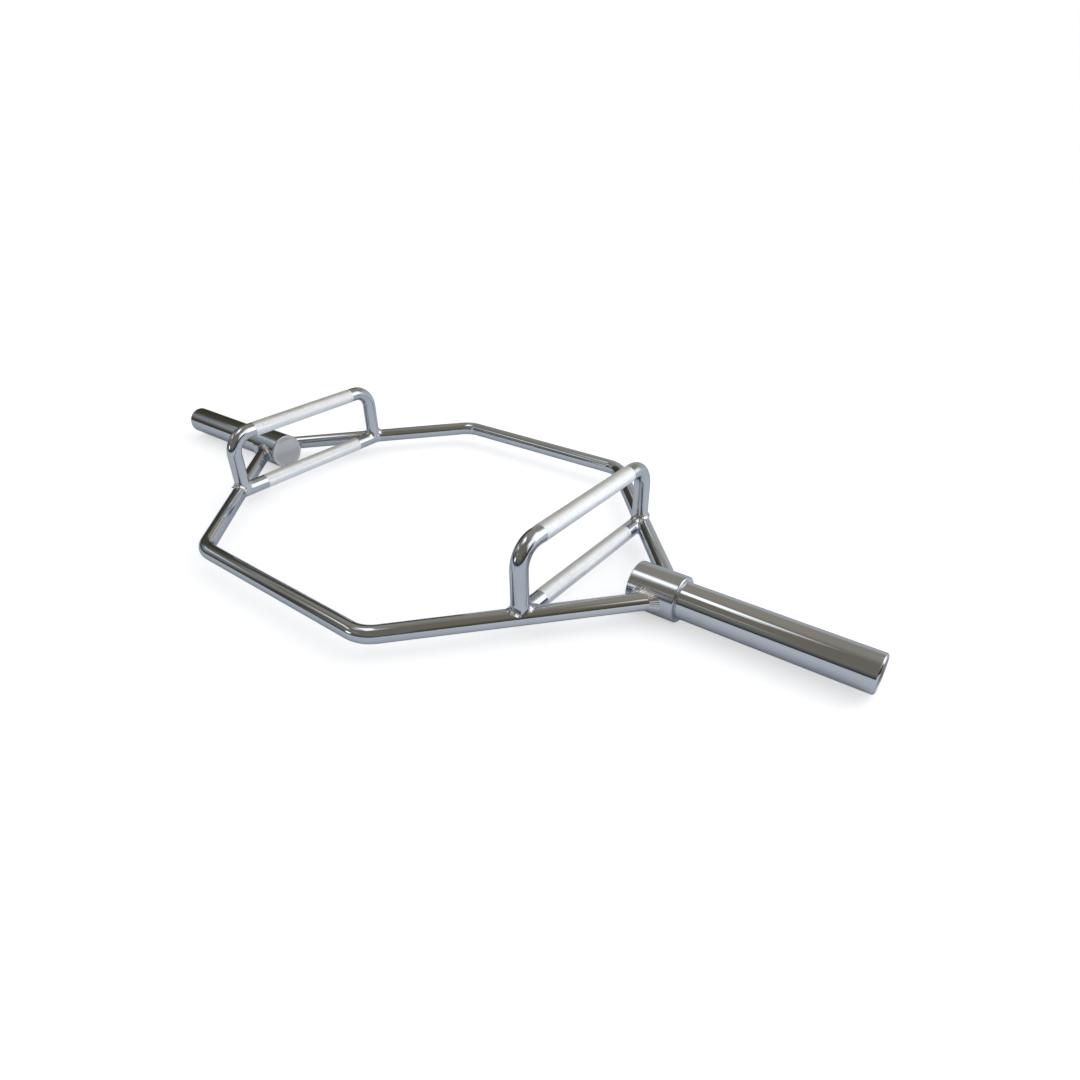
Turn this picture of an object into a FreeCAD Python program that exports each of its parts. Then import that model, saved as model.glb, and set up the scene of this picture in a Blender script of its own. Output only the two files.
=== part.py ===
import FreeCAD, Part
import math
import os

from FreeCAD import Vector

# Hex trap bar: a hexagonal frame of bent round bar with low and high handles, and a turning
# sleeve for weight plates on a hub at each end. Millimetres. X runs along the sleeves, Y to
# the rear and Z up. The origin lies under the middle, on the surface that the hubs rest on.

# Frame: two bent bars that meet at the hubs
bar_diameter = 24.0
frame_width = 598.0  # between the axes of the front and the rear run
side_run = 352.0  # between the corners of the front run
point_reach = 140.0  # from a handle's axis out to the point where the angled runs meet
frame_bend_radius = 45.0

# Handles
handle_distance = 610.0  # between the left and the right handle axes
handle_rise = 97.0  # from the low handle's axis up to the high handle's
leg_setback = 7.1  # each leg's axis, inside the crossing of the low handle's and the frame's axes
handle_bend_radius = 32.0
leg_foot_rise = 3.0  # the legs' lowest tips stay this far above the frame's axis
knurl_rise = 0.3  # the grips' knurl stands this far above the bar
grip_margin = 11.5  # smooth bar between a high handle's bend and its grip

# Hubs
hub_diameter = 63.0
hub_length = 68.0
hub_face_offset = 10.0  # each hub's outer face, past the point where the angled runs meet
hub_outer_round = 2.5
hub_inner_round = 1.5
hub_rim = 4.0  # wall of the barrel round its end disc
disc_thickness = 5.0

# Sleeves
sleeve_diameter = 50.0
sleeve_wall = 5.0
sleeve_length = 239.0
sleeve_outer_chamfer = 2.0
sleeve_inner_chamfer = 0.5
sleeve_bore_chamfer = 1.0

# Spindles and what runs on them
bush_wall = 5.0
bush_length = 40.0
outer_bush_depth = 24.0  # from the sleeve's outer end
spindle_chamfer = 1.5
spindle_land = 5.0  # past the retaining ring
thrust_washer_inset = 0.5  # from the sleeve's outside to the washer's
thrust_washer_thickness = 1.0
retaining_washer_rim = 1.0  # gap between the washer and the sleeve's bore
retaining_washer_thickness = 2.0
ring_width = 3.5
ring_thickness = 1.5
ring_groove_depth = 1.0
ring_gap = 9.0
ring_lug_diameter = 4.4
ring_lug_hole = 2.0

# Fits
running_clearance = 0.05  # radial, spindle in bush
seat_clearance = 0.02  # radial, pieces pressed home
loose_clearance = 0.3  # radial, washers over the spindle
end_play = 0.25  # axial, each end of a sleeve
groove_clearance = 0.1  # axial, retaining ring in its groove

# Places and sizes that follow
axis_height = hub_diameter / 2
handle_x = handle_distance / 2
point_x = handle_x + point_reach
corner_x = side_run / 2
front_y = -frame_width / 2
hub_face_x = point_x + hub_face_offset
hub_inner_x = hub_face_x - hub_length
spindle_start_x = hub_inner_x + disc_thickness
sleeve_start_x = hub_face_x + thrust_washer_thickness + end_play
sleeve_end_x = sleeve_start_x + sleeve_length
sleeve_bore = sleeve_diameter - 2 * sleeve_wall
spindle_diameter = sleeve_bore - 2 * bush_wall
outer_bush_end_x = sleeve_end_x - outer_bush_depth
retaining_washer_x = outer_bush_end_x + end_play
ring_x = retaining_washer_x + retaining_washer_thickness
groove_diameter = spindle_diameter - 2 * ring_groove_depth
spindle_end_x = ring_x + ring_thickness + spindle_land
crossing_y = -front_y * point_reach / (point_x - corner_x)
leg_y = crossing_y - leg_setback
grip_end_y = leg_y - handle_bend_radius - grip_margin
origin = Vector(0, 0, 0)
up = Vector(0, 0, 1)


def at(x, y, rise=0.0):
    """A point placed from the middle of the sleeve axis."""
    return Vector(x, y, axis_height + rise)


def round_bar(diameter, start, end):
    run = end - start
    return Part.makeCylinder(diameter / 2, run.Length, start, run)


def turned(diameter, start_x, end_x, bore=0.0):
    """A cylinder or ring on the sleeve axis."""
    outside = round_bar(diameter, at(start_x, 0), at(end_x, 0))
    if bore:
        return outside.cut(round_bar(bore, at(start_x, 0), at(end_x, 0)))
    return outside


def rims(shape, x, diameter):
    """The circular edges of a turned piece at one place and size."""
    found = []
    for edge in shape.Edges:
        if not isinstance(edge.Curve, Part.Circle):
            continue
        same_place = math.isclose(edge.Curve.Center.x, x, abs_tol=1e-6)
        same_size = math.isclose(2 * edge.Curve.Radius, diameter, abs_tol=1e-6)
        if same_place and same_size:
            found.append(edge)
    return found


def bend(before, corner, after, radius):
    """Start, middle and end of the arc that rounds a corner."""
    to_before = (before - corner).normalize()
    to_after = (after - corner).normalize()
    half_angle = to_before.getAngle(to_after) / 2
    inward = (to_before + to_after).normalize()
    tangent = radius / math.tan(half_angle)
    centre = corner + inward * (radius / math.sin(half_angle))
    return corner + to_before * tangent, centre - inward * radius, corner + to_after * tangent


def bent_bar(diameter, points, radius):
    """A round bar along straight runs joined by bends."""
    edges = []
    run_start = points[0]
    for before, corner, after in zip(points, points[1:], points[2:]):
        start, middle, end = bend(before, corner, after, radius)
        edges.append(Part.LineSegment(run_start, start).toShape())
        edges.append(Part.Arc(start, middle, end).toShape())
        run_start = end
    edges.append(Part.LineSegment(run_start, points[-1]).toShape())
    section = Part.Circle(points[0], points[1] - points[0], diameter / 2).toShape()
    return Part.Wire(edges).makePipeShell([Part.Wire(section)], True, False)


def coped(shape, *others):
    """A bar cut to sit on the pieces that it is welded to."""
    for other in others:
        shape = shape.cut(other)
    return max(shape.Solids, key=lambda solid: solid.Volume)


def turned_round(shape):
    """The same piece on the opposite side of the bar."""
    return shape.rotated(origin, up, 180)


def frame_bar_blank():
    """The front frame bar before its ends are cut to fit the hubs."""
    route = [at(-point_x, 0), at(-corner_x, front_y), at(corner_x, front_y), at(point_x, 0)]
    return bent_bar(bar_diameter, route, frame_bend_radius)


def front_frame_bar():
    return coped(frame_bar_blank(), turned(hub_diameter, -hub_face_x, hub_face_x))


def low_handle():
    """Straight bar across the angled runs, with a raised knurled grip."""
    reach = crossing_y + bar_diameter
    bar = round_bar(bar_diameter, at(handle_x, -reach), at(handle_x, reach))
    return coped(bar, *frame_bar_blanks).fuse(grip(0.0)).removeSplitter()


def grip(rise):
    start = at(handle_x, -grip_end_y, rise)
    return round_bar(bar_diameter + 2 * knurl_rise, start, at(handle_x, grip_end_y, rise))


def high_handle():
    """Bar bent to a U that stands on the frame over the low handle, with a raised knurled grip."""
    route = [
        at(handle_x, -leg_y, leg_foot_rise),
        at(handle_x, -leg_y, handle_rise),
        at(handle_x, leg_y, handle_rise),
        at(handle_x, leg_y, leg_foot_rise),
    ]
    bar = bent_bar(bar_diameter, route, handle_bend_radius)
    return coped(bar, *frame_bar_blanks, right_low_handle).fuse(grip(handle_rise)).removeSplitter()


def hub():
    """Solid barrel, bored for the spindle and recessed for its end disc."""
    barrel = turned(hub_diameter, hub_inner_x, hub_face_x)
    barrel = barrel.makeFillet(hub_outer_round, rims(barrel, hub_face_x, hub_diameter))
    barrel = barrel.makeFillet(hub_inner_round, rims(barrel, hub_inner_x, hub_diameter))
    recess = turned(hub_diameter - 2 * hub_rim, hub_inner_x, spindle_start_x)
    bore = turned(spindle_diameter + 2 * seat_clearance, spindle_start_x, hub_face_x)
    return barrel.cut(recess).cut(bore)


def hub_end_disc():
    return turned(hub_diameter - 2 * (hub_rim + seat_clearance), hub_inner_x, spindle_start_x)


def spindle():
    """Plain shaft with a groove for the retaining ring near its outer end."""
    shaft = turned(spindle_diameter, spindle_start_x, spindle_end_x)
    shaft = shaft.makeChamfer(spindle_chamfer, rims(shaft, spindle_end_x, spindle_diameter))
    groove_end_x = ring_x + ring_thickness + groove_clearance
    return shaft.cut(turned(2 * spindle_diameter, ring_x, groove_end_x, groove_diameter))


def thrust_washer():
    outside = sleeve_diameter - 2 * thrust_washer_inset
    bore = spindle_diameter + 2 * loose_clearance
    return turned(outside, hub_face_x, hub_face_x + thrust_washer_thickness, bore)


def sleeve():
    """Tube for the weight plates, chamfered so that they slide on."""
    tube = turned(sleeve_diameter, sleeve_start_x, sleeve_end_x, sleeve_bore)
    tube = tube.makeChamfer(sleeve_outer_chamfer, rims(tube, sleeve_end_x, sleeve_diameter))
    tube = tube.makeChamfer(sleeve_bore_chamfer, rims(tube, sleeve_end_x, sleeve_bore))
    return tube.makeChamfer(sleeve_inner_chamfer, rims(tube, sleeve_start_x, sleeve_diameter))


def bush(start_x):
    """Plain bush pressed into the sleeve and running on the spindle."""
    outside = sleeve_bore - 2 * seat_clearance
    bore = spindle_diameter + 2 * running_clearance
    return turned(outside, start_x, start_x + bush_length, bore)


def retaining_washer():
    outside = sleeve_bore - 2 * retaining_washer_rim
    bore = spindle_diameter + 2 * loose_clearance
    return turned(outside, retaining_washer_x, ring_x, bore)


def retaining_ring():
    """Open ring in the spindle's groove, with a pierced lug at each end of its gap."""
    ring_end_x = ring_x + ring_thickness
    inside = groove_diameter + 2 * seat_clearance
    outside = inside + 2 * ring_width
    ring = turned(outside, ring_x, ring_end_x, inside)
    gap_floor = Vector(ring_x, -ring_gap / 2, axis_height)
    ring = ring.cut(Part.makeBox(ring_thickness, ring_gap, outside, gap_floor))
    lug_y = (ring_gap + ring_lug_diameter) / 2
    lug_rise = math.sqrt((inside / 2 + ring_width / 2) ** 2 - lug_y**2) + ring_lug_diameter / 4
    for y in (-lug_y, lug_y):
        start = at(ring_x, y, lug_rise)
        end = at(ring_end_x, y, lug_rise)
        lug = round_bar(ring_lug_diameter, start, end).cut(turned(spindle_diameter, ring_x, ring_end_x))
        ring = ring.fuse(lug).cut(round_bar(ring_lug_hole, start, end))
    return ring.removeSplitter()


frame_bar_blanks = [frame_bar_blank(), turned_round(frame_bar_blank())]
right_low_handle = low_handle()

right_side = {
    "low_handle": right_low_handle,
    "high_handle": high_handle(),
    "hub": hub(),
    "hub_end_disc": hub_end_disc(),
    "spindle": spindle(),
    "thrust_washer": thrust_washer(),
    "sleeve": sleeve(),
    "inner_bush": bush(sleeve_start_x),
    "outer_bush": bush(outer_bush_end_x - bush_length),
    "retaining_washer": retaining_washer(),
    "retaining_ring": retaining_ring(),
}

pieces = {"front_frame_bar": front_frame_bar()}
pieces["rear_frame_bar"] = turned_round(pieces["front_frame_bar"])
for name, shape in right_side.items():
    pieces["right_" + name] = shape
    pieces["left_" + name] = turned_round(shape)

os.makedirs("parts", exist_ok=True)
for name, shape in pieces.items():
    shape.exportStep(f"parts/{name}.step")
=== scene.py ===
import math

import bmesh
import bpy
import numpy as np
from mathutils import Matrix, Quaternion, Vector


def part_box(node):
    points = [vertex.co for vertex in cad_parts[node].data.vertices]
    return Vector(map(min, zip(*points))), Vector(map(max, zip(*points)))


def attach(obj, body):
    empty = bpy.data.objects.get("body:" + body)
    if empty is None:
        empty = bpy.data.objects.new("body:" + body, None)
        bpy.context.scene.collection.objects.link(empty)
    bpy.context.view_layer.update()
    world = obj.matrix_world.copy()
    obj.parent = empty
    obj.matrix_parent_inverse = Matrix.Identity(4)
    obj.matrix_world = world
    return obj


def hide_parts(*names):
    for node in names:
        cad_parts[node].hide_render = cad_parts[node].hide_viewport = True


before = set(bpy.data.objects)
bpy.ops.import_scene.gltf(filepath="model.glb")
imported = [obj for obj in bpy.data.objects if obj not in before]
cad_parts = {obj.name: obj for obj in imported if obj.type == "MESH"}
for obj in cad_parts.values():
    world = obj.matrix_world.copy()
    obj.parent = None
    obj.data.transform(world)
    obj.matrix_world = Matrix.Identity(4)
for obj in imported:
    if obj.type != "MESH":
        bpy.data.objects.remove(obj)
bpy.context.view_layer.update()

# Hex trap bar. Metres, in the model's own frame: X along the sleeves, Y to the rear, Z up.

mm = 0.001
sides = {"right": 1, "left": -1}
ends = {"front": -1, "rear": 1}
X = np.array([1.0, 0.0, 0.0])
Y = np.array([0.0, 1.0, 0.0])
Z = np.array([0.0, 0.0, 1.0])

# Sizes read from the model
bar_low, bar_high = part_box("front_frame_bar")
low_handle_low, low_handle_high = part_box("right_low_handle")
high_handle_low, high_handle_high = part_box("right_high_handle")
hub_low, hub_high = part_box("right_hub")
disc_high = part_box("right_hub_end_disc")[1]
sleeve_low, sleeve_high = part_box("right_sleeve")
bush_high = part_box("right_inner_bush")[1]
spindle_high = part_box("right_spindle")[1]

bar_radius = (bar_high.z - bar_low.z) / 2
axis_z = (bar_high.z + bar_low.z) / 2
half_width = -bar_low.y - bar_radius
grip_radius = (low_handle_high.z - low_handle_low.z) / 2
handle_x = (high_handle_low.x + high_handle_high.x) / 2
handle_z = high_handle_high.z - grip_radius
leg_y = high_handle_high.y - bar_radius
hub_radius = hub_high.z - axis_z
disc_radius = disc_high.z - axis_z
sleeve_radius = sleeve_high.z - axis_z
sleeve_bore_radius = bush_high.z - axis_z
spindle_radius = spindle_high.z - axis_z

# Sizes of the bends and edges, as in the model
corner_x = 176 * mm
point_x = 445 * mm
frame_bend_radius = 45 * mm
handle_bend_radius = 32 * mm
grip_margin = 11.5 * mm
grip_end_y = leg_y - handle_bend_radius - grip_margin
leg_foot_rise = 3 * mm
hub_outer_round = 2.5 * mm
hub_inner_round = 1.5 * mm
sleeve_outer_chamfer = 2 * mm
sleeve_inner_chamfer = 0.5 * mm
sleeve_bore_chamfer = 1 * mm
edge_round = 0.25 * mm

# Knurl: two crossing sets of helical grooves that leave rows of small pyramids
knurl_starts = 48
knurl_helix_angle = math.radians(30)
knurl_groove_depth = 0.2 * mm
knurl_end_step = 0.2 * mm

# Weld beads: the size of their legs, how full they are, and how they ripple and wander round a joint
hub_bead = {"leg": 7.5 * mm, "fullness": 0.3, "ripple_share": 0.07}
handle_bead = {"leg": 7.5 * mm, "fullness": 0.0, "ripple_share": 0.015}
leg_bead = {"leg": 7 * mm, "fullness": 0.2, "ripple_share": 0.03}
weld_root_depth = 1 * mm
weld_ripples = 36
weld_drift = 2.0
weld_drift_waves = 5
weld_wander_share = 0.08
weld_wander_waves = [(3, 1.0, 1.0), (7, 2.4, 0.6)]  # waves round the joint, phase, share
weld_section_steps = 12
weld_ring_steps = 240

# Mesh steps
bar_steps = 2 * knurl_starts
bend_steps = 28
turned_steps = 192
round_steps = 8
trace_steps = 80
settle_steps = 3
slope_step = 0.001 * mm
sharp_angle = math.radians(32)


def ring(centre, heading, level, radius, steps):
    """A circle of points across a heading. The level direction is the one that no bend turns."""
    side = np.cross(heading, level)
    angles = np.arange(steps) * (2 * math.pi / steps)
    spokes = np.cos(angles)[:, None] * side + np.sin(angles)[:, None] * level
    return np.asarray(centre) + np.reshape(radius, (-1, 1)) * spokes


def unit(vector):
    return np.asarray(vector) / np.linalg.norm(vector)


def bent_route(points, radius):
    """Places and headings along straight runs joined by bends."""
    places = [points[0]]
    headings = [unit(points[1] - points[0])]
    for before, corner, after in zip(points, points[1:], points[2:]):
        arriving = unit(corner - before)
        leaving = unit(after - corner)
        turn = math.acos(np.dot(arriving, leaving))
        inward = unit(leaving - arriving)
        along = unit(arriving + leaving)
        centre = corner + inward * radius / math.cos(turn / 2)
        for angle in np.linspace(-turn / 2, turn / 2, bend_steps + 1):
            places.append(centre - inward * radius * math.cos(angle) + along * radius * math.sin(angle))
            headings.append(along * math.cos(angle) + inward * math.sin(angle))
    places.append(points[-1])
    headings.append(unit(points[-1] - points[-2]))
    return places, headings


def bar_rings(places, headings, level):
    """Rings of points round a bar along its route."""
    rings = []
    for place, heading in zip(places, headings):
        rings.append(ring(place, heading, level, bar_radius, bar_steps))
    return rings


def hub_gap(points):
    """Distance of points from the hubs' barrels."""
    return np.hypot(points[:, 1], points[:, 2] - axis_z) - hub_radius


def run_gap(points):
    """Distance of points from the frame's angled runs."""
    along = unit([point_x - corner_x, -half_width])
    from_point = np.abs(points[:, :2]) - [point_x, 0]
    across = from_point[:, 0] * along[1] - from_point[:, 1] * along[0]
    return np.hypot(across, points[:, 2] - axis_z) - bar_radius


def leg_seat_gap(points):
    """Distance of points from the angled runs and the low handles, which the legs stand on."""
    low_handle_gap = np.hypot(np.abs(points[:, 0]) - handle_x, points[:, 2] - axis_z) - bar_radius
    return np.minimum(run_gap(points), low_handle_gap)


def reach(points, heading, gap):
    """Points moved along a heading until they touch a surface."""
    for _ in range(trace_steps):
        points = points + gap(points)[:, None] * heading
    return points


def settle(points, gap):
    """Points moved onto a surface by the shortest way."""
    for _ in range(settle_steps):
        distance = gap(points)
        slopes = [(gap(points + slope_step * axis) - distance) / slope_step for axis in (X, Y, Z)]
        points = points - distance[:, None] * np.stack(slopes, axis=1)
    return points


def make_piece(name, points, faces, materials, body, replaced=()):
    """A smooth mesh that keeps its sharp edges, and rides on a body."""
    mesh = bpy.data.meshes.new(name)
    mesh.from_pydata([tuple(point) for point in points], [], faces)
    for material in materials:
        mesh.materials.append(material)
    shape = bmesh.new()
    shape.from_mesh(mesh)
    bmesh.ops.recalc_face_normals(shape, faces=shape.faces)
    shape.to_mesh(mesh)
    shape.free()
    mesh.polygons.foreach_set("use_smooth", [True] * len(mesh.polygons))
    mesh.set_sharp_from_angle(angle=sharp_angle)
    piece = bpy.data.objects.new(name, mesh)
    bpy.context.scene.collection.objects.link(piece)
    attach(piece, body)
    if replaced:
        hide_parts(*replaced)
    return piece


def strip(row, next_row, steps):
    """Quads between one ring of points and another."""
    quads = []
    near, far = row * steps, next_row * steps
    for step in range(steps):
        beside = (step + 1) % steps
        quads.append((near + step, near + beside, far + beside, far + step))
    return quads


def section_faces(rows, steps):
    """Quads between all the rings of a closed section, back to the first."""
    faces = []
    for row in range(rows):
        faces += strip(row, (row + 1) % rows, steps)
    return faces


def knurl_strip(row, steps):
    """Triangles between two rows of a knurl, split along its grooves."""
    faces = []
    for step in range(steps):
        beside = (step + 1) % steps
        a, b = row * steps + step, row * steps + beside
        c, d = (row + 1) * steps + beside, (row + 1) * steps + step
        if (row + step) % 2:
            faces += [(a, b, d), (b, c, d)]
        else:
            faces += [(a, b, c), (a, c, d)]
    return faces


def fan(first, steps, tip):
    """Triangles that close a ring of points at a tip."""
    return [(first + step, first + (step + 1) % steps, tip) for step in range(steps)]


def bar_piece(node_name, rings, tips, knurled_rows, materials):
    """A round bar through rings of points, closed at each end by a fan, with knurled rows."""
    points = np.concatenate(rings + [np.array(tips)])
    last = (len(rings) - 1) * bar_steps
    faces = fan(0, bar_steps, len(points) - 2) + fan(last, bar_steps, len(points) - 1)
    finishes = [0] * len(faces)
    for row in range(len(rings) - 1):
        knurled = row in knurled_rows
        new_faces = knurl_strip(row, bar_steps) if knurled else strip(row, row + 1, bar_steps)
        faces += new_faces
        finishes += [int(knurled)] * len(new_faces)
    piece = make_piece(f"{node_name}_skin", points, faces, materials, "frame", [node_name])
    mesh = piece.data
    mesh.polygons.foreach_set("material_index", finishes)
    mesh.polygons.foreach_set("use_smooth", [finish == 0 for finish in finishes])


def turned_piece(name, profile, side_sign, materials, second_rows, body, replaced):
    """A piece turned on the sleeve axis from (x, radius) points round its closed section.

    The second material goes to the rows named for it.
    """
    rings = []
    for x, radius in profile:
        rings.append(ring((side_sign * x, 0, axis_z), X, Z, radius, turned_steps))
    faces = section_faces(len(rings), turned_steps)
    piece = make_piece(name, np.concatenate(rings), faces, materials, body, replaced)
    finishes = np.repeat([int(row in second_rows) for row in range(len(rings))], turned_steps)
    piece.data.polygons.foreach_set("material_index", finishes)
    flatten = piece.modifiers.new("flat faces stay flat", "WEIGHTED_NORMAL")
    flatten.keep_sharp = True


def rim_round(x, radius, size, outward):
    """Points that round an outer rim of a turned section, from its side to its face."""
    points = []
    for angle in np.linspace(0, math.pi / 2, round_steps + 1):
        back = size * (1 - math.sin(angle))
        points.append((x - outward * back, radius - size * (1 - math.cos(angle))))
    return points


def node(tree, kind, **inputs):
    """A new shader node with the given inputs set."""
    made = tree.nodes.new(kind)
    for key, value in inputs.items():
        made.inputs[key].default_value = value
    return made


def noise(tree, coordinates, scale, detail, stretch=None):
    """Noise on the piece's own coordinates, stretched where a stretch is given."""
    link = tree.links.new
    texture = node(tree, "ShaderNodeTexNoise", Scale=scale, Detail=detail)
    if stretch is None:
        link(coordinates, texture.inputs["Vector"])
    else:
        mapping = node(tree, "ShaderNodeMapping", Scale=stretch)
        link(coordinates, mapping.inputs["Vector"])
        link(mapping.outputs["Vector"], texture.inputs["Vector"])
    return texture.outputs["Fac"]


def spread(tree, value, source, target):
    """A value spread from one range to another, held at its ends."""
    made = node(tree, "ShaderNodeMapRange")
    for key, number in zip(("From Min", "From Max", "To Min", "To Max"), (*source, *target)):
        made.inputs[key].default_value = number
    tree.links.new(value, made.inputs["Value"])
    return made.outputs["Result"]


def combined(tree, operation, first, second):
    """Two values put together by a sum or the like."""
    made = node(tree, "ShaderNodeMath")
    made.operation = operation
    tree.links.new(first, made.inputs[0])
    tree.links.new(second, made.inputs[1])
    return made.outputs["Value"]


def total(tree, *values):
    result = values[0]
    for value in values[1:]:
        result = combined(tree, "ADD", result, value)
    return result


def vector_math(tree, operation, vector, *constants):
    """The outputs of an operation on a vector, with its other inputs constant."""
    made = node(tree, "ShaderNodeVectorMath")
    made.operation = operation
    tree.links.new(vector, made.inputs[0])
    for index, constant in enumerate(constants, start=1):
        made.inputs[index].default_value = constant
    return made.outputs


def axes(tree, vector):
    """The X, Y and Z of a vector."""
    made = node(tree, "ShaderNodeSeparateXYZ")
    tree.links.new(vector, made.inputs["Vector"])
    return made.outputs


def colour_mix(tree, factor, second):
    """A mix whose first colour is still open and whose second is constant."""
    mix = node(tree, "ShaderNodeMix")
    mix.data_type = "RGBA"
    mix.inputs["B"].default_value = (*second, 1)
    tree.links.new(factor, mix.inputs["Factor"])
    return mix


def tint(tree, factor, first, second):
    """A colour between two constant ones."""
    mix = colour_mix(tree, factor, second)
    mix.inputs["A"].default_value = (*first, 1)
    return mix.outputs["Result"]


def worn(tree, colour, rubbed, edge_range):
    """A colour that gives way to a rubbed one on outer edges."""
    pointiness = node(tree, "ShaderNodeNewGeometry").outputs["Pointiness"]
    mix = colour_mix(tree, spread(tree, pointiness, edge_range, (0.0, 1.0)), rubbed)
    tree.links.new(colour, mix.inputs["A"])
    return mix.outputs["Result"]


def bump(tree, height, distance, strength, under=None):
    made = node(tree, "ShaderNodeBump", Strength=strength, Distance=distance)
    tree.links.new(height, made.inputs["Height"])
    if under is not None:
        tree.links.new(under, made.inputs["Normal"])
    return made.outputs["Normal"]


def new_metal(name):
    """An empty metal material, with its tree, shader and coordinates."""
    material = bpy.data.materials.new(name)
    material.use_nodes = True
    tree = material.node_tree
    shader = tree.nodes["Principled BSDF"]
    shader.inputs["Metallic"].default_value = 1.0
    shader.inputs["Specular Tint"].default_value = (*metal_rim_tint, 1)
    coordinates = node(tree, "ShaderNodeTexCoord").outputs["Object"]
    return material, tree, shader, coordinates


def chrome(name, colours, gloss, stretch, scratch, peel_scale=170.0, peel_depth=0.02 * mm):
    """Polished plate: clouds, smudges, fine scratches, rubbed edges and faint waves, called peel."""
    material, tree, shader, coordinates = new_metal(name)
    link = tree.links.new
    clouds = noise(tree, coordinates, plate_cloud_scale, detail=4.0)
    smudges = noise(tree, coordinates, plate_smudge_scale, detail=6.0)
    scratches = noise(tree, coordinates, plate_scratch_scale, detail=3.0, stretch=stretch)
    peel = noise(tree, coordinates, peel_scale, detail=2.0)
    colour = tint(tree, spread(tree, clouds, cloud_range, (0.0, 1.0)), *colours)
    link(worn(tree, colour, rubbed_plate, plate_edge_range), shader.inputs["Base Color"])
    roughness = total(
        tree,
        spread(tree, smudges, plate_smudge_range, (gloss, gloss + plate_smudge_dulling)),
        spread(tree, scratches, plate_scratch_range, (0.0, scratch)),
        spread(tree, clouds, plate_haze_range, (0.0, plate_haze_dulling)),
    )
    link(roughness, shader.inputs["Roughness"])
    waves = bump(tree, peel, peel_depth, plate_relief)
    link(bump(tree, scratches, plate_scratch_depth, plate_relief, waves), shader.inputs["Normal"])
    return material


def knurled_chrome(name):
    """Plate over the knurl: dull and mottled, and brighter on the rubbed tips."""
    material, tree, shader, coordinates = new_metal(name)
    link = tree.links.new
    grime = noise(tree, coordinates, knurl_grime_scale, detail=5.0)
    mottle = noise(tree, coordinates, knurl_mottle_scale, detail=3.0)
    grain = noise(tree, coordinates, knurl_grain_scale, detail=2.0)
    shader.inputs["Metallic"].default_value = knurl_metallic
    colour = tint(tree, spread(tree, mottle, knurl_mottle_range, (0.0, 1.0)), knurl_grey, knurl_white)
    link(worn(tree, colour, knurl_white, knurl_edge_range), shader.inputs["Base Color"])
    link(spread(tree, grime, knurl_grime_range, knurl_roughness), shader.inputs["Roughness"])
    link(bump(tree, grain, knurl_grain_depth, knurl_grain_relief), shader.inputs["Normal"])
    return material


def turned_metal(name, pale, dark, rubbed, gloss, groove_scale, grain=0.0):
    """Metal with fine rings left by the lathe, on pieces turned on the sleeve axis."""
    material, tree, shader, coordinates = new_metal(name)
    link = tree.links.new
    from_axis = vector_math(tree, "SUBTRACT", coordinates, (0, 0, axis_z))["Vector"]
    across = vector_math(tree, "MULTIPLY", from_axis, (0, 1, 1))["Vector"]
    place = node(tree, "ShaderNodeCombineXYZ")
    link(vector_math(tree, "LENGTH", across)["Value"], place.inputs["X"])
    link(axes(tree, coordinates)["X"], place.inputs["Y"])
    rings = noise(tree, place.outputs["Vector"], groove_scale, detail=4.0)
    clouds = noise(tree, coordinates, turned_cloud_scale, detail=5.0)
    specks = noise(tree, coordinates, turned_speck_scale, detail=3.0)
    colour = tint(tree, spread(tree, clouds, cloud_range, (0.0, 1.0)), pale, dark)
    link(worn(tree, colour, rubbed, turned_edge_range), shader.inputs["Base Color"])
    roughness = total(
        tree,
        spread(tree, rings, turned_ring_range, (gloss, gloss + turned_ring_dulling)),
        spread(tree, specks, turned_speck_range, (0.0, turned_speck_dulling)),
    )
    link(roughness, shader.inputs["Roughness"])
    link(bump(tree, rings, turned_ring_depth, turned_ring_relief), shader.inputs["Normal"])
    shader.inputs["Anisotropic"].default_value = grain
    shader.inputs["Anisotropic Rotation"].default_value = quarter_turn
    round_axis = node(tree, "ShaderNodeTangent")
    round_axis.direction_type = "RADIAL"
    round_axis.axis = "X"
    link(round_axis.outputs["Tangent"], shader.inputs["Tangent"])
    return material


# Finishes: scales are per metre, a range is the part of a noise that shows, dulling adds roughness
metal_rim_tint = (0.62, 0.64, 0.67)
cloud_range = (0.3, 0.7)
pale_plate = (0.555, 0.595, 0.65)
dark_plate = (0.52, 0.56, 0.615)
rubbed_plate = (0.7, 0.71, 0.72)
plate_edge_range = (0.54, 0.62)
plate_cloud_scale = 9.0
plate_haze_range = (0.4, 0.75)
plate_haze_dulling = 0.02
plate_smudge_scale = 34.0
plate_smudge_range = (0.45, 0.8)
plate_smudge_dulling = 0.05
plate_scratch_scale = 620.0
plate_scratch_range = (0.6, 0.75)
plate_scratch_depth = 0.01 * mm
plate_relief = 0.25
knurl_grey = (0.8, 0.84, 0.885)
knurl_white = (0.95, 0.975, 1.0)
knurl_edge_range = (0.46, 0.56)
knurl_metallic = 0.95
knurl_roughness = (0.36, 0.48)
knurl_grime_scale = 60.0
knurl_grime_range = (0.3, 0.75)
knurl_mottle_scale = 340.0
knurl_mottle_range = (0.35, 0.65)
knurl_grain_scale = 1500.0
knurl_grain_depth = 0.03 * mm
knurl_grain_relief = 0.3
turned_edge_range = (0.53, 0.6)
turned_cloud_scale = 45.0
turned_speck_scale = 900.0
turned_speck_range = (0.55, 0.8)
turned_speck_dulling = 0.08
turned_ring_range = (0.3, 0.7)
turned_ring_dulling = 0.1
turned_ring_depth = 0.02 * mm
turned_ring_relief = 0.35
quarter_turn = 0.25

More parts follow.
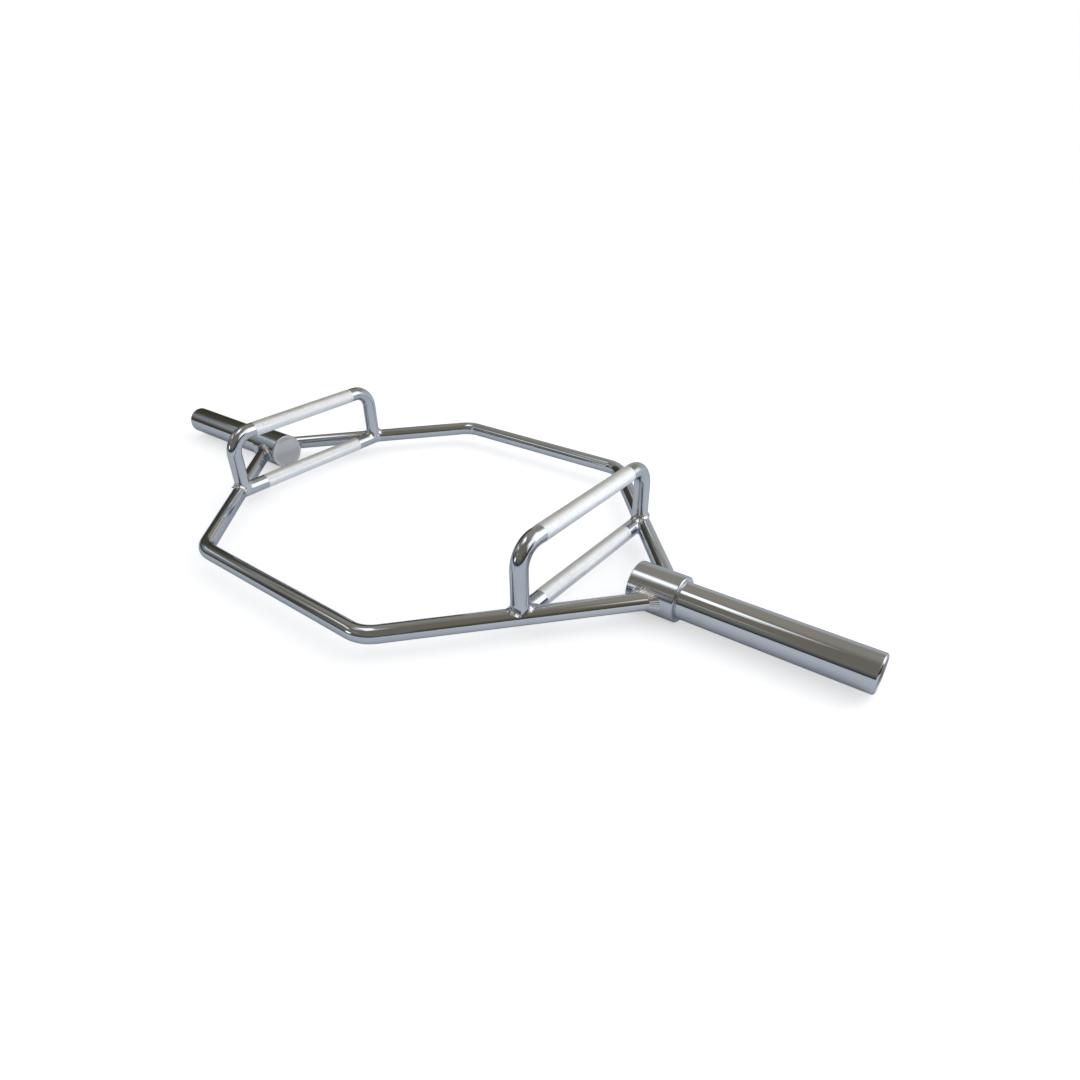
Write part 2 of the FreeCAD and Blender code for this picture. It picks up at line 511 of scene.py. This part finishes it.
plate = (pale_plate, dark_plate)
# The weld plates are paler than the bar plate. This is a painted highlight that stands in for the light
# the convex beads catch.
bright_painted_weld_plate = ((0.66, 0.68, 0.7), pale_plate)
bright_painted_rough_weld_plate = ((0.76, 0.785, 0.815), (0.62, 0.65, 0.69))
bar_chrome = chrome("bar chrome", plate, gloss=0.045, stretch=(1, 1, 0.08), scratch=0.05)
handle_chrome = chrome("handle chrome", plate, gloss=0.09, stretch=(1, 0.06, 1), scratch=0.08)
hub_chrome = chrome("hub chrome", plate, gloss=0.14, stretch=(1, 0.04, 0.04), scratch=0.05)
sleeve_chrome = chrome("sleeve chrome", plate, gloss=0.045, stretch=(1, 0.06, 0.06), scratch=0.08)
weld_chrome = chrome("weld chrome", bright_painted_weld_plate, gloss=0.16, stretch=(1, 1, 1), scratch=0.1)
rough_weld_chrome = chrome(
    "rough weld chrome",
    bright_painted_rough_weld_plate,
    gloss=0.15,
    stretch=(1, 1, 1),
    scratch=0.1,
    peel_scale=420.0,
    peel_depth=1.2 * mm,
)
grip_chrome = knurled_chrome("knurled chrome")
disc_steel = turned_metal(
    "faced steel",
    pale=(0.44, 0.485, 0.54),
    dark=(0.38, 0.425, 0.48),
    rubbed=(0.7, 0.7, 0.7),
    gloss=0.05,
    groove_scale=1900.0,
    grain=0.2,
)
washer_steel = turned_metal(
    "bright steel",
    pale=(0.6, 0.62, 0.65),
    dark=(0.54, 0.56, 0.59),
    rubbed=(0.78, 0.78, 0.77),
    gloss=0.16,
    groove_scale=1900.0,
)
# Hub end faces: a duller faced finish, with the plate painted far paler than chrome as a painted
# highlight.
faced_plate_and_highlight = turned_metal(
    "faced plate with painted highlight",
    pale=(0.8, 0.82, 0.85),
    dark=(0.72, 0.74, 0.77),
    rubbed=(0.78, 0.79, 0.8),
    gloss=0.34,
    groove_scale=1900.0,
)
bore_steel = turned_metal(
    "bored steel",
    pale=(0.5, 0.485, 0.52),
    dark=(0.42, 0.405, 0.44),
    rubbed=(0.66, 0.65, 0.67),
    gloss=0.5,
    groove_scale=1200.0,
)
spindle_steel = turned_metal(
    "ground steel",
    pale=(0.44, 0.44, 0.45),
    dark=(0.36, 0.36, 0.375),
    rubbed=(0.6, 0.6, 0.59),
    gloss=0.22,
    groove_scale=1600.0,
)
ring_steel = turned_metal(
    "dark spring steel",
    pale=(0.09, 0.088, 0.088),
    dark=(0.05, 0.05, 0.052),
    rubbed=(0.25, 0.24, 0.23),
    gloss=0.34,
    groove_scale=1200.0,
)
bronze = turned_metal(
    "bearing bronze",
    pale=(0.57, 0.37, 0.17),
    dark=(0.44, 0.27, 0.11),
    rubbed=(0.75, 0.53, 0.3),
    gloss=0.26,
    groove_scale=1500.0,
)


def frame_bar(name, end_sign):
    """One of the two bent bars, from hub to hub."""
    run_y = end_sign * half_width
    corners = [(-point_x, 0), (-corner_x, run_y), (corner_x, run_y), (point_x, 0)]
    points = [np.array([x, y, axis_z]) for x, y in corners]
    places, headings = bent_route(points, frame_bend_radius)
    rings = bar_rings(places, headings, Z)
    rings[0] = reach(rings[1], -headings[0], hub_gap)
    rings[-1] = reach(rings[-2], headings[-1], hub_gap)
    tips = [
        reach(places[1][None], -headings[0], hub_gap)[0],
        reach(places[-2][None], headings[-1], hub_gap)[0],
    ]
    bar_piece(name, rings, tips, (), [bar_chrome])


def knurl_rows(z, side_sign):
    """Rings of points along a grip, from its plain end to its plain end."""
    pitch = 2 * math.pi * grip_radius / knurl_starts
    row_length = pitch / math.tan(knurl_helix_angle) / 2
    first = grip_end_y - knurl_end_step
    count = round(2 * first / row_length)
    rows = [(-grip_end_y, bar_radius)]
    for index, y in enumerate(np.linspace(-first, first, count + 1)):
        tips = (np.arange(bar_steps) + index) % 2
        rows.append((y, grip_radius - knurl_groove_depth * (1 - tips)))
    rows.append((grip_end_y, bar_radius))
    return [ring((side_sign * handle_x, y, z), Y, X, radius, bar_steps) for y, radius in rows]


def low_handle(name, side_sign):
    """Straight bar between the angled runs, with its grip."""
    rows = knurl_rows(axis_z, side_sign)
    rings = [reach(rows[0], -Y, run_gap)] + rows + [reach(rows[-1], Y, run_gap)]
    middle = np.array([[side_sign * handle_x, 0, axis_z]])
    tips = [reach(middle, -Y, run_gap)[0], reach(middle, Y, run_gap)[0]]
    knurled = range(1, len(rings) - 2)
    bar_piece(name, rings, tips, knurled, [handle_chrome, grip_chrome])


def leg_foot(points):
    """The lower end of a leg, cut to sit on the frame."""
    seated = reach(points, -Z, leg_seat_gap)
    seated[:, 2] = np.maximum(seated[:, 2], axis_z + leg_foot_rise)
    return seated


def high_handle(name, side_sign):
    """Bar bent to a U that stands on the frame, with its grip."""
    x = side_sign * handle_x
    corners = [(-leg_y, axis_z), (-leg_y, handle_z), (leg_y, handle_z), (leg_y, axis_z)]
    points = [np.array([x, y, z]) for y, z in corners]
    places, headings = bent_route(points, handle_bend_radius)
    bends = bar_rings(places, headings, X)
    rising, falling = bends[1 : bend_steps + 2], bends[bend_steps + 2 : -1]
    rows = knurl_rows(handle_z, side_sign)
    rings = [leg_foot(rising[0])] + rising + rows + falling + [leg_foot(falling[-1])]
    tips = [leg_foot(places[1][None])[0], leg_foot(places[-2][None])[0]]
    first = 1 + len(rising)
    knurled = range(first, first + len(rows) - 1)
    bar_piece(name, rings, tips, knurled, [handle_chrome, grip_chrome])


def weld_bead(name, centre, heading, level, gap, finish, leg, fullness, ripple_share, lowest=None):
    """A bead of weld metal round the place where a bar meets another surface."""
    circle = ring(centre, heading, level, bar_radius, weld_ring_steps)
    outward = (circle - centre) / bar_radius
    root = reach(circle, heading, gap)
    if lowest is not None:
        root[:, 2] = np.maximum(root[:, 2], lowest)
    turns = np.arange(weld_ring_steps) * (2 * math.pi / weld_ring_steps)
    wander = sum(share * np.sin(waves * turns + phase) for waves, phase, share in weld_wander_waves)
    drift = weld_drift * np.sin(weld_drift_waves * turns)
    ripple = ripple_share * np.sin(weld_ripples * turns + drift)
    size = leg * (1 + weld_wander_share * wander + ripple)[:, None]
    on_bar = root - heading * size
    on_seat = settle(root + outward * size, gap)
    away = (outward - heading) / math.sqrt(2)
    crown = root + away * size * fullness
    rings = []
    for share in np.linspace(0, 1, weld_section_steps + 1):
        rings.append((1 - share) ** 2 * on_bar + 2 * share * (1 - share) * crown + share**2 * on_seat)
    rings.append(root - away * weld_root_depth)
    faces = section_faces(len(rings), weld_ring_steps)
    make_piece(name, np.concatenate(rings), faces, [finish], "frame")


def weld_beads(side, side_sign, end, end_sign):
    """The beads of one corner: bar to hub, low handle to bar and leg to both."""
    corner = f"{end}_{side}"
    run_heading = unit([side_sign * (point_x - corner_x), -end_sign * half_width, 0])
    run_middle = np.array([side_sign * (point_x + corner_x) / 2, end_sign * half_width / 2, axis_z])
    handle_end = np.array([side_sign * handle_x, end_sign * grip_end_y, axis_z])
    leg_top = np.array([side_sign * handle_x, end_sign * leg_y, handle_z - handle_bend_radius])
    lowest = axis_z + leg_foot_rise
    # Every bead wears plate painted paler than the bars' plate, as a painted highlight.
    weld_bead(f"{corner}_hub_weld", run_middle, run_heading, Z, hub_gap, rough_weld_chrome, **hub_bead)
    weld_bead(
        f"{corner}_low_handle_weld", handle_end, end_sign * Y, X, run_gap, weld_chrome, **handle_bead
    )
    weld_bead(f"{corner}_leg_weld", leg_top, -Z, X, leg_seat_gap, weld_chrome, **leg_bead, lowest=lowest)


def hub(side, side_sign):
    """Barrel with rounded rims, bored for the spindle and recessed for its disc."""
    inner, outer = hub_low.x, hub_high.x
    recess = disc_high.x
    profile = [
        (inner, disc_radius),
        *rim_round(inner, hub_radius, hub_inner_round, -1)[::-1],
        *rim_round(outer, hub_radius, hub_outer_round, 1),
        (outer, spindle_radius),
        (recess, spindle_radius),
        (recess, disc_radius),
    ]
    # Both end faces take the faced plate, whose pale colour is a painted highlight.
    turned_piece(
        f"{side}_hub_barrel",
        profile,
        side_sign,
        materials=[hub_chrome, faced_plate_and_highlight],
        second_rows=[0, profile.index((outer, spindle_radius)) - 1],
        body="frame",
        replaced=[f"{side}_hub"],
    )


def sleeve(side, side_sign):
    """Tube with a bevelled lead-in for the plates and eased edges."""
    inner, outer = sleeve_low.x, sleeve_high.x
    profile = [
        (inner, sleeve_bore_radius),
        (inner, sleeve_radius - sleeve_inner_chamfer),
        (inner + sleeve_inner_chamfer, sleeve_radius),
        (outer - sleeve_outer_chamfer - edge_round, sleeve_radius),
        (outer - sleeve_outer_chamfer + edge_round, sleeve_radius - edge_round),
        (outer - edge_round, sleeve_radius - sleeve_outer_chamfer + edge_round),
        (outer, sleeve_radius - sleeve_outer_chamfer - edge_round),
        (outer, sleeve_bore_radius + sleeve_bore_chamfer),
        (outer - sleeve_bore_chamfer, sleeve_bore_radius),
    ]
    turned_piece(
        f"{side}_sleeve_tube",
        profile,
        side_sign,
        materials=[sleeve_chrome, bore_steel],
        second_rows=[len(profile) - 2, len(profile) - 1],
        body=f"{side}_sleeve",
        replaced=[f"{side}_sleeve"],
    )


for end, end_sign in ends.items():
    frame_bar(f"{end}_frame_bar", end_sign)
for side, side_sign in sides.items():
    low_handle(f"{side}_low_handle", side_sign)
    high_handle(f"{side}_high_handle", side_sign)
    hub(side, side_sign)
    sleeve(side, side_sign)
    for end, end_sign in ends.items():
        weld_beads(side, side_sign, end, end_sign)

node_materials = {
    "hub_end_disc": disc_steel,
    "spindle": spindle_steel,
    "thrust_washer": washer_steel,
    "inner_bush": bronze,
    "outer_bush": bronze,
    "retaining_washer": spindle_steel,
    "retaining_ring": ring_steel,
}
for side in sides:
    for name, material in node_materials.items():
        for material_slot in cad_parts[f"{side}_{name}"].material_slots:
            material_slot.material = material


def seen(tree, camera_share=1.0, mirror_share=1.0):
    """The first share for rays from the camera, the second for those that a mirror or glass sends on."""
    path = node(tree, "ShaderNodeLightPath").outputs
    return total(
        tree,
        spread(tree, path["Is Camera Ray"], (0, 1), (0, camera_share)),
        spread(tree, path["Is Glossy Ray"], (0, 1), (0, mirror_share)),
        spread(tree, path["Is Transmission Ray"], (0, 1), (0, mirror_share)),
    )


def light_world():
    """White where the background is seen, and a plain even light elsewhere."""
    world = bpy.data.worlds.new("studio")
    bpy.context.scene.world = world
    world.use_nodes = True
    tree = world.node_tree
    light = tree.nodes["Background"]
    light.inputs["Color"].default_value = (*daylight, 1)
    light.inputs["Strength"].default_value = world_light
    white = node(tree, "ShaderNodeBackground", Color=(1, 1, 1, 1), Strength=1.0)
    choice = node(tree, "ShaderNodeMixShader")
    tree.links.new(seen(tree), choice.inputs["Fac"])
    tree.links.new(light.outputs["Background"], choice.inputs[1])
    tree.links.new(white.outputs["Background"], choice.inputs[2])
    tree.links.new(choice.outputs["Shader"], tree.nodes["World Output"].inputs["Surface"])


def stage_card(name, size, material, place, facing, turn=0.0):
    """A flat card whose face looks along a direction, turned by degrees in its own plane."""
    half_x, half_y = size[0] / 2, size[1] / 2
    corners = [(-half_x, -half_y, 0), (half_x, -half_y, 0), (half_x, half_y, 0), (-half_x, half_y, 0)]
    mesh = bpy.data.meshes.new(name)
    mesh.from_pydata(corners, [], [(0, 1, 2, 3)])
    mesh.materials.append(material)
    card = bpy.data.objects.new(name, mesh)
    card.location = place
    card.rotation_mode = "QUATERNION"
    in_plane = Quaternion((0, 0, 1), math.radians(turn))
    card.rotation_quaternion = Vector(facing).to_track_quat("Z", "Y") @ in_plane
    bpy.context.scene.collection.objects.link(card)
    return card


def for_mirrors(card):
    """Leaves a card to be seen in polished metal alone, where it lights and hides nothing."""
    card.visible_camera = False
    card.visible_diffuse = False
    card.visible_shadow = False


def floor_material():
    """Pale floor that keeps shadows and reads as white where it is seen."""
    material = bpy.data.materials.new("pale floor")
    material.use_nodes = True
    tree = material.node_tree
    shader = tree.nodes["Principled BSDF"]
    shader.inputs["Base Color"].default_value = (floor_shade, floor_shade, floor_shade, 1)
    shader.inputs["Roughness"].default_value = floor_roughness
    shader.inputs["Specular IOR Level"].default_value = 0.0
    shader.inputs["Emission Color"].default_value = (*floor_glow, 1)
    tree.links.new(seen(tree, floor_lift, floor_lift_in_metal), shader.inputs["Emission Strength"])
    return material


def glowing(name):
    """An empty glowing material, with its tree and its emission."""
    material = bpy.data.materials.new(name)
    material.use_nodes = True
    tree = material.node_tree
    tree.nodes.remove(tree.nodes["Principled BSDF"])
    return material, tree, node(tree, "ShaderNodeEmission")


def wall_material(name, axis, first, last, shades):
    """A plain card whose shade changes along an axis; the shades are (place, colour) pairs."""
    material, tree, glow = glowing(name)
    place = axes(tree, node(tree, "ShaderNodeNewGeometry").outputs["Position"])
    ramp = node(tree, "ShaderNodeValToRGB")
    ramp.color_ramp.interpolation = "EASE"
    stops = ramp.color_ramp.elements
    stops[0].color = (*shades[0][1], 1)
    stops[1].color = (*shades[-1][1], 1)
    for level, colour in shades[1:-1]:
        stops.new((level - first) / (last - first)).color = (*colour, 1)
    tree.links.new(spread(tree, place[axis], (first, last), (0, 1)), ramp.inputs["Fac"])
    tree.links.new(ramp.outputs["Color"], glow.inputs["Color"])
    tree.links.new(glow.outputs["Emission"], tree.nodes["Material Output"].inputs["Surface"])
    return material


def softbox_material(name, colour, strength, edge):
    """A glow that fades to nothing at the card's edges."""
    material, tree, glow = glowing(name)
    glow.inputs["Color"].default_value = (*colour, 1)
    glow.inputs["Strength"].default_value = strength
    across_card = node(tree, "ShaderNodeTexCoord").outputs["Generated"]
    centred = vector_math(tree, "MULTIPLY_ADD", across_card, (2, 2, 0), (-1, -1, 0))["Vector"]
    outward = axes(tree, vector_math(tree, "ABSOLUTE", centred)["Vector"])
    toward_edge = combined(tree, "MAXIMUM", outward["X"], outward["Y"])
    clear = node(tree, "ShaderNodeBsdfTransparent")
    choice = node(tree, "ShaderNodeMixShader")
    tree.links.new(spread(tree, toward_edge, (1 - edge, 1), (0, 1)), choice.inputs["Fac"])
    tree.links.new(glow.outputs["Emission"], choice.inputs[1])
    tree.links.new(clear.outputs["BSDF"], choice.inputs[2])
    tree.links.new(choice.outputs["Shader"], tree.nodes["Material Output"].inputs["Surface"])
    return material


def softbox(name, place, size, strength, colour=(1, 1, 1), edge=0.6, turn=0.0):
    """A soft light, turned to the middle of the object, that polished metal shows."""
    facing = Vector((0, 0, axis_z)) - Vector(place)
    material = softbox_material(name, colour, strength, edge)
    for_mirrors(stage_card(name, size, material, place, facing, turn))


def wall(name, facing, shades):
    """A wall of the room that looks along a direction."""
    place = Vector((0, 0, room_height / 2)) - Vector(facing) * room_width / 2
    material = wall_material(name, "Z", 0, room_height, shades)
    for_mirrors(stage_card(name, (room_width, room_height), material, place, facing))


def ceiling(name, shades):
    """The room's ceiling, whose shade changes from front to rear."""
    half = room_width / 2
    material = wall_material(name, "Y", -half, half, shades)
    for_mirrors(stage_card(name, (room_width, room_width), material, (0, 0, room_height), -Z))


def toward(azimuth, elevation, distance):
    """A place seen from the middle; azimuth is measured from the rear towards the right."""
    azimuth, elevation = math.radians(azimuth), math.radians(elevation)
    level = distance * math.cos(elevation)
    return level * math.sin(azimuth), level * math.cos(azimuth), distance * math.sin(elevation)


# Studio: a white floor under a plain room, whose walls and lights show only in the metal
world_light = 0.66
daylight = (0.94, 0.985, 1.05)
floor_size = 80.0
floor_shade = 0.85
floor_roughness = 0.9
floor_glow = (1.0, 0.97, 0.94)
floor_lift = 0.48
floor_lift_in_metal = 0.03
room_width = 8.0
room_height = 3.4
taupe = (0.38, 0.343, 0.282)
dark_taupe = (0.23, 0.205, 0.16)
olive = (0.08, 0.072, 0.046)
pale_olive = (0.11, 0.1, 0.072)
brown = (0.23, 0.215, 0.175)
dark_brown = (0.12, 0.105, 0.072)
umber = (0.036, 0.032, 0.022)
soot = (0.045, 0.047, 0.045)
gold_brown = (0.17, 0.14, 0.095)
slate = (0.12, 0.13, 0.13)
cream = (0.68, 0.68, 0.67)
dim_cream = (0.6, 0.565, 0.5)
cool_white = (0.95, 0.98, 1.0)
overhead_turn = 64
key_place = (1.62, 1.33, 1.7)
key_size = (1.9, 2.6)
key_power = 15.5

ceiling_shades = [(-4, dark_taupe), (-1, dark_taupe), (1, taupe), (4, taupe)]
rear_shades = [(0, cream), (0.4, cream), (1.4, dim_cream), (2.8, taupe), (3.4, taupe)]
left_shades = [(0, olive), (1.3, olive), (2.8, pale_olive), (3.4, taupe)]
front_shades = [(0, soot), (0.3, soot), (0.8, slate), (1.7, brown), (3.4, dark_taupe)]
right_shades = [(0, umber), (0.4, umber), (1.0, dark_brown), (2.4, gold_brown), (3.4, dark_taupe)]

light_world()
stage_card("floor", (floor_size, floor_size), floor_material(), (0, 0, 0), Z)
ceiling("ceiling_card", ceiling_shades)
wall("rear_card", -Y, rear_shades)
wall("left_card", X, left_shades)
wall("front_card", Y, front_shades)
wall("right_card", -X, right_shades)
softbox("key_softbox", key_place, key_size, strength=1.95, edge=0.65)
softbox("right_panel", toward(80, 36, 3.2), (2.7, 2.2), strength=1.5, edge=0.5)
softbox("rear_right_panel", (1.98, 1.42, 0.72), (1.9, 1.5), strength=2.1)
softbox("overhead_softbox", (-0.75, -0.42, 3.0), (1.0, 2.1), strength=2.3, edge=0.7, turn=overhead_turn)
softbox("overhead_spill", (-1.15, -0.95, 2.9), (1.3, 1.1), strength=1.0, colour=cool_white, edge=1.0)
softbox("front_strip", toward(-130, 42, 3.2), (1.4, 0.35), strength=1.8, colour=cool_white)
softbox("left_front_panel", toward(-112, 24, 3.5), (2.4, 1.9), strength=0.5, colour=cool_white, edge=1.0)
softbox("left_front_strip", toward(-107, 30, 3.4), (1.5, 0.22), strength=1.3, colour=cool_white)
softbox("rear_left_strip", toward(-27, 31, 3.4), (1.4, 0.16), strength=1.2, colour=cool_white)
softbox("high_front_strip", toward(-168, 35, 3.4), (1.2, 0.2), strength=0.7, colour=cool_white)
softbox("low_front_panel", toward(-156, 15, 3.6), (1.0, 0.8), strength=2.8, colour=cool_white)

key_light = bpy.data.lights.new("key_light", "AREA")
key_light.shape = "RECTANGLE"
key_light.size, key_light.size_y = key_size
key_light.energy = key_power
key_lamp = bpy.data.objects.new("key_light", key_light)
key_lamp.location = key_place
key_lamp.rotation_euler = (-Vector(key_place)).to_track_quat("-Z", "Y").to_euler()
key_lamp.visible_glossy = False
bpy.context.scene.collection.objects.link(key_lamp)

# Camera, at the place and tilt worked out from the photograph's perspective
camera_place = Vector((0.7493, -0.6933, 0.5497))
camera_aim = Vector((0.2286, -0.0543, 0.0315))
camera_roll = math.radians(-1.674)
camera_data = bpy.data.cameras.new("camera")
camera_data.sensor_width = 36
camera_data.lens = 23.0
camera_data.shift_x = 0.0195
camera_data.shift_y = 0.0214
camera = bpy.data.objects.new("camera", camera_data)
camera.location = camera_place
camera.rotation_mode = "QUATERNION"
level_view = (camera_aim - camera_place).to_track_quat("-Z", "Y")
camera.rotation_quaternion = level_view @ Quaternion((0, 0, 1), camera_roll)
bpy.context.scene.collection.objects.link(camera)
bpy.context.scene.camera = camera
bpy.context.scene.view_settings.view_transform = "Standard"
